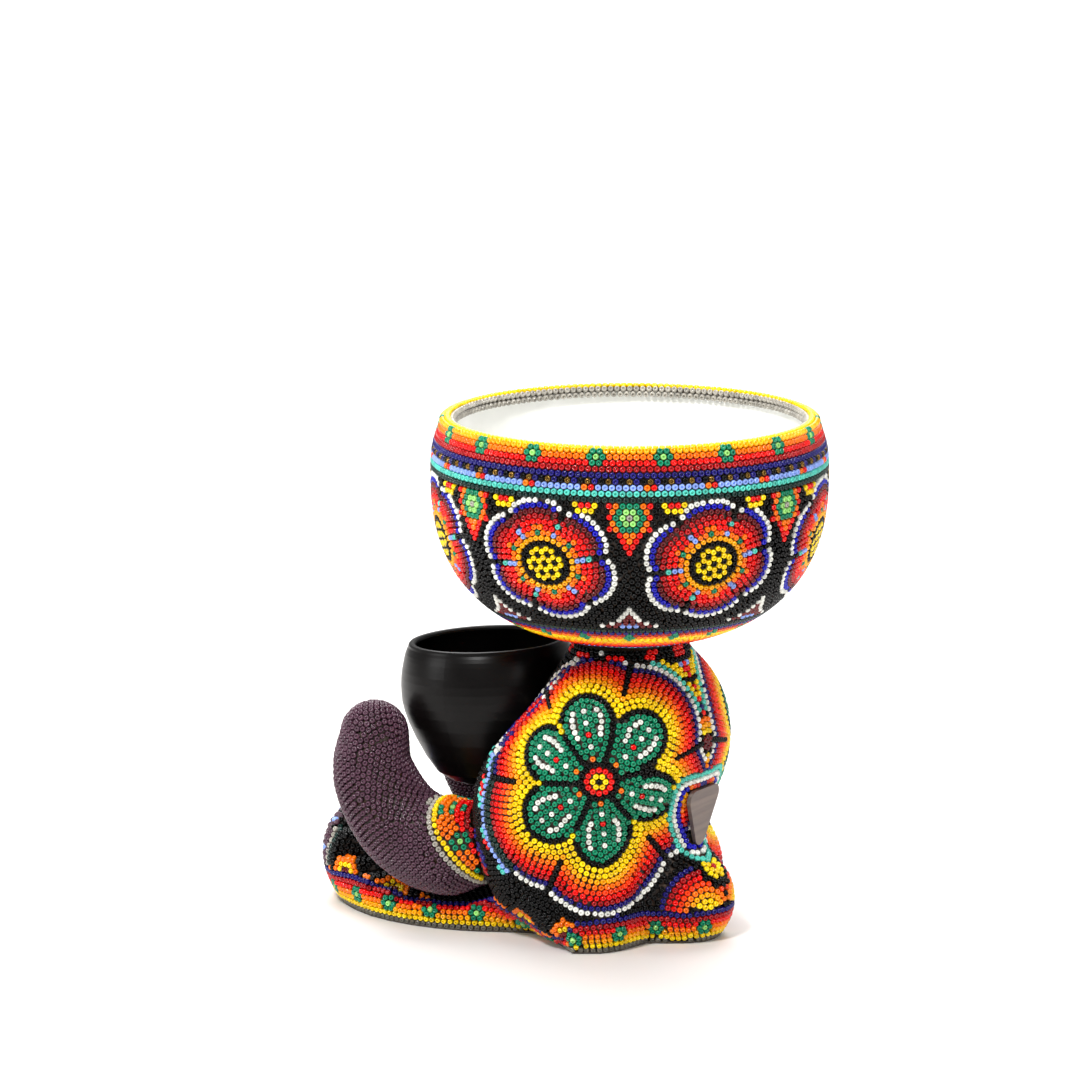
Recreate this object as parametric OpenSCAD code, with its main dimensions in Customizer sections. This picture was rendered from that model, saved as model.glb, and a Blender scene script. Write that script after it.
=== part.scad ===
// Seated beaded figure that carries a large beaded bowl on its neck and holds a black clay cup
// in its curled arms. The carved form is covered by a layer of wax, and the wax by small glass beads.
// Millimetres, +Z up. The origin is on the large bowl's axis, at the face the figure stands on.
// The figure faces -Y, and its left and right sides mirror each other across X = 0.

/* [Large bowl] */
// Greatest radius over the beads
bowl_r = 65.5; // [60:0.5:70]
// Height of the underside of the bowl, where the neck ends
bowl_base_z = 98; // [96:0.5:100]
// Height of the rim's top
bowl_rim_z = 173; // [165:0.5:180]
// Radius of the mouth inside the rim
mouth_r = 57; // [52:0.5:58]
// Height of the widest part
bowl_belly_z = 154; // [150:0.5:156]
// Thickness of the ceramic wall
ceramic_t = 4; // [3:0.5:5]

/* [Cup] */
// Distance of the cup's axis in front of the large bowl's axis
cup_y = 52; // [51.5:0.1:52.5]
// Height of the cup's foot
cup_foot_z = 44; // [43.8:0.1:44.5]
// Height of the cup
cup_h = 47; // [45:0.5:48]
// Greatest radius of the cup
cup_r = 29.7; // [29:0.1:30]
// Thickness of the cup's wall
cup_t = 2.6; // [2:0.1:3.5]
// How far the cup leans forward
cup_lean = 3; // [0:0.5:4]

/* [Arms] */
// Radius of the arm where the cuff begins
arm_root_r = 16.5; // [15:0.25:17]
// Radius of the arm's tip
arm_tip_r = 11.6; // [10:0.2:12]

/* [Skin] */
// How far the glass beads stand out of the wax
bead_h = 1.5; // [1.2:0.1:1.8]
// Thickness of the wax
wax_t = 1.0; // [0.8:0.1:1.5]
// Height of the banded trim around the base
trim_h = 12; // [11:0.5:13]
// Thickness of the felt under the base
felt_t = 0.8; // [0.6:0.1:1]

/* [Name plate] */
// Width of the blank plate on the back
plate_w = 19; // [17:0.5:20]
// Height of the blank plate
plate_h = 20; // [18:0.5:21]
// Thickness of the plate
plate_t = 1.4; // [1:0.1:1.6]

/* [Hidden] */
$fn = 96;
skin_t = bead_h + wax_t;
seam = 0.02;          // play between the layers of the skin
joint_gap = 0.35;     // play between separate pieces
arm_clear = 1.7;      // room under the arms
wood = "burlywood";
wax = "darkgoldenrod";

// ---------- small helpers ----------
function lerp(a, b, t) = a + (b - a) * t;
function clamp(v, low, high) = max(low, min(high, v));
function last(list) = list[len(list) - 1];
function soft_min(a, b, k) = let (h = max(k - abs(a - b), 0) / k) min(a, b) - h * h * k / 4;
function soft_max(a, b, k) = -soft_min(-a, -b, k);
function mirrored(grid) = [for (row = grid) [for (p = row) [-p.x, p.y, p.z]]];

// Signed distance to an ellipsoid with centre c and half axes s, close enough near its surface
function ellipsoid(p, c, s) = let (
        q = p - c,
        near = norm([q.x / s.x, q.y / s.y, q.z / s.z]),
        slope = norm([q.x / (s.x * s.x), q.y / (s.y * s.y), q.z / (s.z * s.z)])
    ) slope < 1e-6 ? -min(s) : near * (near - 1) / slope;

// Signed distance to a round bar whose radius runs from a[3] to b[3]
function bar(p, a, b) = let (
        start = [a.x, a.y, a.z],
        along = [b.x, b.y, b.z] - start,
        t = clamp((p - start) * along / (along * along), 0, 1)
    ) norm(p - start - t * along) - lerp(a[3], b[3], t);

// ---------- the arm's centre line: x, y, z and radius, from inside the body to the tip ----------
ARM = [
    [22, -30, 30.5, arm_root_r + 0.5], [29, -45, 28.5, arm_root_r + 0.5], [31, -58, 28, arm_root_r - 0.3],
    [32, -70.5, 35, arm_root_r - 1.3], [32, -79.5, 49, lerp(arm_root_r, arm_tip_r, 0.55)],
    [30, -80.5, 62, arm_tip_r]
];
function arm_distance(p) = min([for (i = [1 : len(ARM) - 2]) bar(p, ARM[i], ARM[i + 1])]);

// ---------- the cup's outside, as radius and height above its foot ----------
CUP = [
    [0.40, 0], [0.64, 0.085], [0.86, 0.33], [0.975, 0.53], [1, 0.65], [0.993, 0.77],
    [0.963, 0.87], [0.933, 0.94], [0.90, 0.985]
];
// Smooth curve through the four points a, b, c and d, between b and c
function blend_curve(a, b, c, d, t) =
    (2 * b + (c - a) * t + (2 * a - 5 * b + 4 * c - d) * t * t + (3 * b - a - 3 * c + d) * t * t * t) / 2;
function knot(list, i) = list[clamp(i, 0, len(list) - 1)];
function smooth_line(list, parts) = concat([
    for (i = [0 : len(list) - 2], j = [0 : parts - 1])
        blend_curve(knot(list, i - 1), list[i], list[i + 1], knot(list, i + 2), j / parts)
], [last(list)]);
cup_side = [for (c = smooth_line(CUP, 2)) [c.x * cup_r, c.y * cup_h]];
function cup_radius(h) = lookup(h, [for (c = cup_side) [c.y, c.x]]);
// Distance to the upright space that the leaning cup needs
function cup_distance(p) = max(
        (norm([p.x, p.y + cup_y]) - cup_radius(p.z - cup_foot_z)) * 0.93 - cup_h * sin(cup_lean) / 2,
        cup_foot_z - p.z
    );

// ---------- the carved form: soft unions of rounded masses, hollowed for the arms and the cup ----------
neck_r = 17.5;
function trunk(p) = let (
        shoulders = ellipsoid(p, [0, 0.5, 64], [42, 30, 36]),
        haunch = ellipsoid(p, [20, -17, 38], [27, 27.5, 37]),
        seat = ellipsoid(p, [23, 1, 14], [23, 18, 24]),
        spine = ellipsoid(p, [0, 0, 34], [27, 25.5, 42]),
        tail = ellipsoid(p, [0, 14, 12.5], [20, 24, 20]),
        neck = bar(p, [0, 0, 60, neck_r], [0, 0, 115, neck_r]),
        upper = soft_min(soft_min(shoulders, haunch, 10), neck, 10)
    ) soft_min(soft_min(soft_min(upper, seat, 8), spine, 6), tail, 6);
function legs(p) = soft_min(
        ellipsoid(p, [0, -60, 8], [38, 49, 24]),
        ellipsoid(p, [0, -94, 17], [27, 20, 19]), 8
    );
// Only the legs and their fillet are hollowed for the arms, which end on the trunk's surface
function form(p) = let (
        q = [abs(p.x), p.y, p.z],
        mass = trunk(q),
        arm_room = min(arm_clear - arm_distance(q), mass)
    ) soft_max(soft_max(soft_min(mass, legs(q), 8), arm_room, 1), 0.6 - cup_distance(q), 3);

// First place on the ray from p along d, between near and far, where the form's distance passes depth
function crossing(p, d, near, far, depth, n) = let (mid = (near + far) / 2)
    n == 0 ? mid
    : form(p + mid * d) < depth ? crossing(p, d, mid, far, depth, n - 1)
    : crossing(p, d, near, mid, depth, n - 1);
function first_out(p, d, t, step, depth) =
    form(p + (t + step) * d) < depth && t < 140 ? first_out(p, d, t + step, step, depth) : t;
function on_form(p, d, depth) = let (t = first_out(p, d, 0, 4, depth))
    p + crossing(p, d, t, t + 4, depth, 12) * d;

// ---------- the body's grid: columns turn round the body, levels go up it ----------
columns = 48;
TRIM = [felt_t, 3, 6, 9, trim_h];
SIDE = [trim_h, 16, 20, 24, 28, 31, 34, 37, 40, 44, 49, 54, 59, 64, 69, 74, 79, 84, 88];
plate_low = 31;        // the beads leave a window between these two levels for the plate
plate_high = 54;
TAIL = [for (z = SIDE) if (z <= plate_low) z];
PLATE = [for (z = SIDE) if (z >= plate_low && z <= plate_high) z];
BACK = [for (z = SIDE) if (z >= plate_high) z];
LAP = [for (z = SIDE) if (z <= 40) z];
CHEST = [for (z = SIDE) if (z >= 40) z];
NECK = [88, 91, 94, bowl_base_z - 0.2];
function middle_y(z) = lookup(z, [[0, -32], [28, -30], [42, -9], [bowl_base_z, 0]]);
// Columns stand closer together at the front and the back, where the base reaches furthest
function column_turn(column) = let (u = column * 360 / columns) u + 12 * sin(2 * u);
function body_point(z, column, depth) = let (turn = column_turn(column))
    on_form([0, middle_y(z), z], [cos(turn), sin(turn), 0], -depth);
function body_grid(levels, from, to, depth) =
    [for (z = levels) [for (c = [from : to]) body_point(z, c, depth)]];

// ---------- solids from grids ----------
function flat(grid) = [for (row = grid) each row];
function quad(a, b, c, d) = [[a, b, c], [a, c, d]];
// Faces of a sheet of r rows of n points that starts at point k; wrap joins its last column to its first
function sheet_faces(r, n, k, wrap, turned) = [
    for (i = [0 : r - 2], j = [0 : n - (wrap ? 1 : 2)]) let (
        a = k + i * n + j,
        b = k + i * n + (j + 1) % n,
        q = turned ? quad(a, a + n, b + n, b) : quad(a, b, b + n, a + n)
    ) each q
];
function row_edge(n, a, b, wrap, turned) = [
    for (j = [0 : n - (wrap ? 1 : 2)]) let (
        m = (j + 1) % n,
        q = turned ? quad(a + j, a + m, b + m, b + j) : quad(a + j, b + j, b + m, a + m)
    ) each q
];
// A skin between an outer and an inner grid of the same size
module skin(outer, inner, wrap = false) {
    r = len(outer);
    n = len(outer[0]);
    k = r * n;
    end_row = (r - 1) * n;
    side_low = [for (i = [0 : r - 2]) let (e = i * n) each quad(e + n, e, k + e, k + e + n)];
    side_high = [for (i = [0 : r - 2]) let (e = i * n + n - 1) each quad(e, e + n, k + e + n, k + e)];
    polyhedron(concat(flat(outer), flat(inner)), concat(
        sheet_faces(r, n, 0, wrap, true), sheet_faces(r, n, k, wrap, false),
        row_edge(n, 0, k, wrap, true), row_edge(n, end_row, k + end_row, wrap, false),
        wrap ? [] : concat(side_low, side_high)
    ));
}
// A solid or a skin closed by a point at the end of its last row
module capped(outer, outer_tip, inner = [], inner_tip = [0, 0, 0]) {
    r = len(outer);
    n = len(outer[0]);
    tip = r * n;
    k = tip + 1;
    hollow = len(inner) > 0;
    points = concat(flat(outer), [outer_tip], hollow ? concat(flat(inner), [inner_tip]) : [mean(outer[0])]);
    polyhedron(points, concat(
        sheet_faces(r, n, 0, true, true),
        [for (j = [0 : n - 1]) [tip, tip - n + (j + 1) % n, tip - n + j]],
        hollow ? concat(
            sheet_faces(r, n, k, true, false),
            [for (j = [0 : n - 1]) [k + tip, k + tip - n + j, k + tip - n + (j + 1) % n]],
            row_edge(n, 0, k, true, true)
        ) : [for (j = [0 : n - 1]) [k, j, (j + 1) % n]]
    ));
}
function mean(list) = [for (row = list) 1] * list / len(list);

// ---------- the arm's grid ----------
arm_sides = 20;
arm_steps = 11;
cuff_rows = 1;
root_focus = [12, -8, 32];
function arm_at(s) = let (i = min(floor(s), len(ARM) - 2))
    blend_curve(knot(ARM, i - 1), ARM[i], ARM[i + 1], knot(ARM, i + 2), s - i);
function place(k) = [k.x, k.y, k.z];
function unit(v) = v / norm(v);
function arm_heading(s) = unit(place(arm_at(min(s + 0.05, len(ARM) - 1))) - place(arm_at(s - 0.05)));
function ring(centre, heading, radius) = let (
        side = unit([1, 0, 0] - heading.x * heading),
        up = cross(heading, side)
    ) [for (j = [0 : arm_sides - 1]) let (turn = j * 360 / arm_sides)
        centre + radius * (cos(turn) * side + sin(turn) * up)];
arm_first = 1.35;
function arm_station(i) = lerp(arm_first, len(ARM) - 1, i / arm_steps);
function arm_ring(i, depth) = let (s = arm_station(i), k = arm_at(s))
    ring(place(k), arm_heading(s), k[3] - depth);
// The root lies on the body's surface; share runs from its middle to its edge
function root_ring(depth, share = 1) = let (edge = arm_ring(0, depth), middle = mean(edge))
    [for (p = edge) on_form(root_focus, unit(lerp(middle, p, share) - root_focus), joint_gap)];
// Rounded tip, in rings of falling radius
tip_turns = [25, 50, 72];
function tip_ring(turn, depth) = let (
        heading = arm_heading(len(ARM) - 1),
        end = last(ARM),
        radius = end[3] - depth
    ) ring(place(end) + heading * radius * sin(turn), heading, radius * cos(turn));
function arm_tip(depth) = place(last(ARM)) + arm_heading(len(ARM) - 1) * (last(ARM)[3] - depth);
function arm_grid(from, depth, rooted) = concat(
        rooted ? [root_ring(depth)] : [],
        [for (i = [from : arm_steps]) arm_ring(i, depth)],
        [for (turn = tip_turns) tip_ring(turn, depth)]
    );
function cuff_grid(depth) = concat([root_ring(depth)], [for (i = [0 : cuff_rows]) arm_ring(i, depth)]);

module arm_core(side) {
    depth = skin_t + 2 * seam;
    root = [for (share = [0.2, 0.6]) root_ring(depth, share)];
    color(wood) side_of(side) capped(concat(root, arm_grid(0, depth, true)), arm_tip(depth));
}
module arm_wax(side) {
    outer = bead_h + seam;
    inner = skin_t + seam;
    color(wax) side_of(side)
        capped(arm_grid(0, outer, true), arm_tip(outer), arm_grid(0, inner, true), arm_tip(inner));
}
module arm_beads(side) {
    color([0.36, 0.22, 0.33]) side_of(side) capped(
        arm_grid(cuff_rows, 0, false), arm_tip(0), arm_grid(cuff_rows, bead_h, false), arm_tip(bead_h)
    );
}
module cuff_beads(side) {
    color("darkorange") side_of(side) skin(cuff_grid(0), cuff_grid(bead_h), wrap = true);
}
// The arms are worked out on the right, at +X, and mirrored for the left
module side_of(side) {
    if (side > 0) children();
    else mirror([1, 0, 0]) children();
}

// ---------- body ----------
flank = 7;             // columns from the middle of a flank to its edge
quarter = columns / 4;
module body_core() {
    levels = concat(TRIM, SIDE, NECK);
    // a level is kept once where two lists meet
    heights = [for (i = [0 : len(levels) - 1]) if (i == 0 || levels[i] > levels[i - 1]) levels[i]];
    grid = body_grid(heights, 0, columns - 1, skin_t + seam);
    k = len(grid) * columns;
    top = (len(grid) - 1) * columns;
    color(wood) difference() {
        polyhedron(
            concat(flat(grid), [mean(grid[0]), mean(last(grid))]),
            concat(
                sheet_faces(len(grid), columns, 0, true, true),
                [for (j = [0 : columns - 1]) [k, j, (j + 1) % columns]],
                [for (j = [0 : columns - 1]) [k + 1, top + (j + 1) % columns, top + j]]
            )
        );
        translate([0, 0, bowl_base_z - peg_depth]) cylinder(r = peg_r + 0.05, h = peg_depth + 5);
    }
}
module body_wax() {
    levels = concat(TRIM, [for (z = SIDE) if (z > trim_h) z], [for (z = NECK) if (z > last(SIDE)) z]);
    color(wax) skin(
        body_grid(levels, 0, columns - 1, bead_h + seam),
        body_grid(levels, 0, columns - 1, skin_t), wrap = true
    );
}
module band_beads(levels, tint) {
    color(tint) skin(
        body_grid(levels, 0, columns - 1, 0), body_grid(levels, 0, columns - 1, bead_h), wrap = true
    );
}
// Columns from and to count from the middle of the right flank round over the back
module panel_beads(levels, from, to, tint) {
    color(tint) skin(body_grid(levels, from, to, 0), body_grid(levels, from, to, bead_h));
}
// The strips of beads at the two sides of the plate
module plate_border_beads() {
    window = 4;
    color("turquoise") {
        skin(body_grid(PLATE, flank, quarter - window, 0), body_grid(PLATE, flank, quarter - window, bead_h));
        skin(
            body_grid(PLATE, quarter + window, 2 * quarter - flank, 0),
            body_grid(PLATE, quarter + window, 2 * quarter - flank, bead_h)
        );
    }
}
module base_felt() {
    sole = [for (c = [0 : columns - 1]) let (p = body_point(felt_t, c, 0.4)) [p.x, p.y]];
    color("dimgray") linear_extrude(felt_t - seam) polygon(sole);
}

// ---------- name plate: a blank rounded triangle, point down ----------
plate_z = 41;
plate_lean = 8;        // the plate follows the back, whose upper half stands further out
plate_corner = 3.2;
plate_corners = [
    [plate_corner - plate_w / 2, plate_h / 2 - plate_corner],
    [plate_w / 2 - plate_corner, plate_h / 2 - plate_corner],
    [0.8, plate_corner - plate_h / 2]
];
// The arc round corner i, from one straight side to the next
function plate_arc(i) = let (
        before = plate_corners[i] - plate_corners[(i + 2) % 3],
        after = plate_corners[(i + 1) % 3] - plate_corners[i],
        start = atan2(before.y, before.x) + 90,
        sweep = (atan2(after.y, after.x) + 90 - start - 360) % 360
    ) [for (step = [0 : 6]) let (turn = start + sweep * step / 6)
        plate_corners[i] + plate_corner * [cos(turn), sin(turn)]];
// The plate's back clears the wax all over its height
plate_y = max([
    for (z = [plate_z - plate_h / 2 : 2 : plate_z + plate_h / 2])
        on_form([0, 0, z], [0, 1, 0], -bead_h).y - (z - plate_z) * tan(plate_lean)
]) + 0.25;
module name_plate() {
    color("dimgray") translate([0, plate_y, plate_z]) rotate([90 + plate_lean, 0, 180])
        linear_extrude(plate_t) polygon([for (i = [0 : 2]) each plate_arc(i)]);
}

// ---------- large bowl ----------
peg_r = 5;
peg_depth = 16;
// Radius over the beads at height z
function bowl_outside(z) = let (
        below = z < bowl_belly_z,
        span = below ? bowl_belly_z - bowl_base_z + 0.5 : 30,
        power = below ? 2.45 : 3,
        part = clamp(abs(z - bowl_belly_z) / span, 0, 1)
    ) bowl_r * pow(1 - pow(part, power), 1 / power);
rim_round = (bowl_outside(bowl_rim_z - 4) - mouth_r) / 2;
rim_r = mouth_r + rim_round;
// Outline of the bowl at a depth under the beads, from the foot to the rim and over to the mouth
function bowl_curve(from, to, steps, depth, start = 0) = [
    for (i = [start : steps]) let (
        z = lerp(from, to, i / steps),
        slope = [bowl_outside(z + 0.5) - bowl_outside(z - 0.5), 1],
        out = unit([slope.y, -slope.x])
    ) [bowl_outside(z), z] - depth * out
];
function rim_arc(from, to, depth) = let (steps = 8) [
    for (i = [0 : steps]) let (turn = lerp(from, to, i / steps))
        [rim_r, bowl_rim_z - rim_round] + (rim_round - depth) * [cos(turn), sin(turn)]
];
rim_from = bowl_rim_z - 8;      // where the outside turns into the rim
foot_from = bowl_base_z + 1;
foot_to = bowl_base_z + 8;
band_from = 139;
foot_r = 18.5;
foot_steps = 5;
flower_steps = 14;
band_steps = 11;
// The layers under the beads turn at the same heights as the beads, so that they lie close all the way
function bowl_side(depth) = concat(
        bowl_curve(foot_from, foot_to, foot_steps, depth),
        bowl_curve(foot_to, band_from, flower_steps, depth, 1),
        bowl_curve(band_from, rim_from, band_steps, depth, 1)
    );
module ring_skin(outer, inner, tint) {
    color(tint) rotate_extrude() polygon(concat(outer, [for (i = [len(inner) - 1 : -1 : 0]) inner[i]]));
}
module bowl_rim_beads() {
    ring_skin(
        concat([bowl_curve(rim_from, rim_from, 1, 0)[0]], rim_arc(20, 200, 0)),
        concat([bowl_curve(rim_from, rim_from, 1, bead_h)[0]], rim_arc(20, 200, bead_h)), "orange"
    );
}
module bowl_band_beads() {
    ring_skin(
        bowl_curve(band_from, rim_from, band_steps, 0), bowl_curve(band_from, rim_from, band_steps, bead_h),
        "mediumblue"
    );
}
module bowl_flower_beads() {
    ring_skin(
        bowl_curve(foot_to, band_from, flower_steps, 0), bowl_curve(foot_to, band_from, flower_steps, bead_h),
        "firebrick"
    );
}
module bowl_foot_beads() {
    ring_skin(
        concat([[foot_r, bowl_base_z]], bowl_curve(foot_from, foot_to, foot_steps, 0)),
        concat([[foot_r, bowl_base_z + bead_h]], bowl_curve(foot_from, foot_to, foot_steps, bead_h)), "gold"
    );
}
module bowl_wax() {
    top = bead_h + seam;
    ring_skin(
        concat([[foot_r, bowl_base_z + top]], bowl_side(top), rim_arc(20, 180, top)),
        concat([[foot_r, bowl_base_z + skin_t]], bowl_side(skin_t), rim_arc(20, 180, skin_t)), wax
    );
}
module ceramic_bowl() {
    under = skin_t + seam;
    outer = concat([[0, bowl_base_z + under], [foot_r, bowl_base_z + under]], bowl_side(under),
        rim_arc(20, 180, under));
    inside = skin_t + ceramic_t;
    inner = concat([[0, bowl_base_z + inside + 1]], bowl_curve(foot_from + 3, rim_from - 6, 30, inside),
        [[rim_r - rim_round + skin_t, bowl_rim_z - rim_round - 3]]);
    color("white") difference() {
        rotate_extrude() polygon(concat(outer, [for (i = [len(inner) - 1 : -1 : 0]) inner[i]]));
        translate([0, 0, bowl_base_z]) cylinder(r = peg_r + 0.05, h = skin_t + 2.5);
    }
}
// Wooden peg that holds the bowl on the neck
module bowl_peg() {
    color(wood) translate([0, 0, bowl_base_z - peg_depth + joint_gap])
        cylinder(r = peg_r, h = peg_depth + skin_t + 1.5);
}

// Wax seat between the neck and the bowl
module bowl_seat() {
    low = bowl_base_z - 0.2 + seam;
    color(wax) translate([0, 0, low]) difference() {
        cylinder(r = neck_r - 0.5, h = bowl_base_z + skin_t - low);
        translate([0, 0, -1]) cylinder(r = peg_r + 0.05, h = skin_t + 3);
    }
}

// ---------- cup ----------
module black_cup() {
    lip = cup_t / 2;
    mouth = last(cup_side).x - lip;
    outer = concat([[0, 0]], cup_side);
    inner = [for (c = cup_side) if (c.y > cup_t) [c.x - cup_t, c.y]];
    lip_arc = [for (turn = [30 : 30 : 150]) [mouth, last(cup_side).y] + lip * [cos(turn), sin(turn)]];
    color([0.07, 0.065, 0.065]) translate([0, -cup_y, cup_foot_z + 0.4]) rotate([cup_lean, 0, 0])
        rotate_extrude() polygon(concat(outer, lip_arc, [for (i = [len(inner) - 1 : -1 : 0]) inner[i]],
            [[inner[0].x - 2, cup_t - 0.1], [0, cup_t - 0.1]]));
}

body_core();
body_wax();
base_felt();
arm_core(-1);  // left_arm_core
arm_core(1);  // right_arm_core
arm_wax(-1);  // left_arm_wax
arm_wax(1);  // right_arm_wax
band_beads(TRIM, "red");  // trim_beads
panel_beads(SIDE, 2 * quarter - flank, 2 * quarter + flank, "yellow");  // left_flank_beads
panel_beads(SIDE, -flank, flank, "yellow");  // right_flank_beads
panel_beads(BACK, flank, 2 * quarter - flank, "tomato");  // back_beads
panel_beads(TAIL, flank, 2 * quarter - flank, "orange");  // tail_beads
plate_border_beads();
panel_beads(CHEST, 2 * quarter + flank, 4 * quarter - flank, "seagreen");  // chest_beads
panel_beads(LAP, 2 * quarter + flank, 4 * quarter - flank, "black");  // lap_beads
band_beads(NECK, "darkred");  // neck_beads
cuff_beads(-1);  // left_cuff_beads
cuff_beads(1);  // right_cuff_beads
arm_beads(-1);  // left_arm_beads
arm_beads(1);  // right_arm_beads
name_plate();
bowl_peg();
bowl_seat();
ceramic_bowl();
bowl_wax();
bowl_rim_beads();
bowl_band_beads();
bowl_flower_beads();
bowl_foot_beads();
black_cup();
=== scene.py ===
"""Looks of the beaded seated figure with its large bowl and small black cup.

Lengths inside this script are millimetres in the CAD frame; meshes are written in metres.
"""

import math
import random

import bpy
import numpy as np
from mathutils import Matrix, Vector
from mathutils.bvhtree import BVHTree
from mathutils.geometry import barycentric_transform
from mathutils.kdtree import KDTree


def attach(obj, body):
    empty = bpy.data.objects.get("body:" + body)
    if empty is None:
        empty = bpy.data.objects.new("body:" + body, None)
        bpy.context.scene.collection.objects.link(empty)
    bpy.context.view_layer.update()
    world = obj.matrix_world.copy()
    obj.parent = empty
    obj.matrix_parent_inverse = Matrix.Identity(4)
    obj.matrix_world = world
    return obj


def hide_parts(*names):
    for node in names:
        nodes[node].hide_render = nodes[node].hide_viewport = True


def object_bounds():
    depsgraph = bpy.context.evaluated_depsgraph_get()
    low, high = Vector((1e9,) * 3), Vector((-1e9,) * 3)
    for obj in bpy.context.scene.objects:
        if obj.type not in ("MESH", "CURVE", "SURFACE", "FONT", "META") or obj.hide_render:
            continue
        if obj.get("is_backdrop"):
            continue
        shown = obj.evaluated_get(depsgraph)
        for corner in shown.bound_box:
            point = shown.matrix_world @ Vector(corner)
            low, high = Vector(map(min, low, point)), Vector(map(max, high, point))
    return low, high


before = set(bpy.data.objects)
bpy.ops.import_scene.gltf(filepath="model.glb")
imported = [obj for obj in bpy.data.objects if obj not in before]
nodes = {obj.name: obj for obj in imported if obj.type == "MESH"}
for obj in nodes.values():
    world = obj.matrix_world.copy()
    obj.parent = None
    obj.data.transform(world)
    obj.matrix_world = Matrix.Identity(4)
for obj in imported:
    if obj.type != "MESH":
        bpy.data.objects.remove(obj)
cad_low, cad_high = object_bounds()
rng = random.Random(7)

PITCH = 2.12        # from one bead to the next along a row
ROW = 1.86          # from one row to the next
BEAD_RADIUS = 1.04
BEAD_HEIGHT = 1.5
HALF = BEAD_HEIGHT / 2
MAX_BEADS = 1600    # in one piece

# ---------- colours of the glass, as display values ----------
GLASS = {
    "black": (0.012, 0.011, 0.012),
    "white": (0.9, 0.9, 0.87),
    "pearl": (0.66, 0.64, 0.60),
    "grey": (0.42, 0.41, 0.37),
    "yellow": (0.99, 0.84, 0.02),
    "amber": (1.0, 0.68, 0.01),
    "orange": (1.0, 0.47, 0.01),
    "flame": (0.98, 0.25, 0.02),
    "red": (0.92, 0.05, 0.03),
    "crimson": (0.68, 0.04, 0.07),
    "maroon": (0.4, 0.05, 0.07),
    "navy": (0.08, 0.055, 0.42),
    "blue": (0.06, 0.045, 0.68),
    "sky": (0.55, 0.66, 0.93),
    "turquoise": (0.32, 0.78, 0.71),
    "bottle": (0.035, 0.17, 0.15),
    "green": (0.01, 0.52, 0.37),
    "lime": (0.6, 0.85, 0.46),
    "gold": (0.50, 0.38, 0.16),
    "plum": (0.31, 0.195, 0.255),
}


def linear(v):
    return v / 12.92 if v <= 0.04045 else ((v + 0.055) / 1.055) ** 2.4


def to_linear(rgb):
    return tuple(linear(v) for v in rgb)


TINTS = (0.93, 1.0, 1.05)
_glass = {}


def glass(colour, tint):
    """One melt of glass beads. Every colour comes in a few melts that differ a little."""
    key = (colour, tint)
    if key not in _glass:
        m = bpy.data.materials.new(f"glass_{colour}_{tint}")
        m.use_nodes = True
        bsdf = m.node_tree.nodes["Principled BSDF"]
        rgb = [min(1.0, c * TINTS[tint]) for c in GLASS[colour]]
        bsdf.inputs["Base Color"].default_value = (*to_linear(rgb), 1)
        bsdf.inputs["Roughness"].default_value = 0.12 + 0.04 * tint
        bsdf.inputs["IOR"].default_value = 1.32 if colour == "black" else 1.48
        if colour == "gold":
            bsdf.inputs["Metallic"].default_value = 0.8
        m.diffuse_color = (*rgb, 1)
        _glass[key] = m
    return _glass[key]


# ---------- surfaces that beads are laid on ----------
def mesh_mm(name):
    me = nodes[name].data
    co = np.empty(len(me.vertices) * 3, np.float32)
    me.vertices.foreach_get("co", co)
    me.calc_loop_triangles()
    tri = np.empty(len(me.loop_triangles) * 3, np.int32)
    me.loop_triangles.foreach_get("vertices", tri)
    return co.reshape(-1, 3).astype(float) * 1000, tri.reshape(-1, 3)


def tree_of(name):
    co, tri = mesh_mm(name)
    return BVHTree.FromPolygons([tuple(v) for v in co], [tuple(t) for t in tri])


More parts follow.
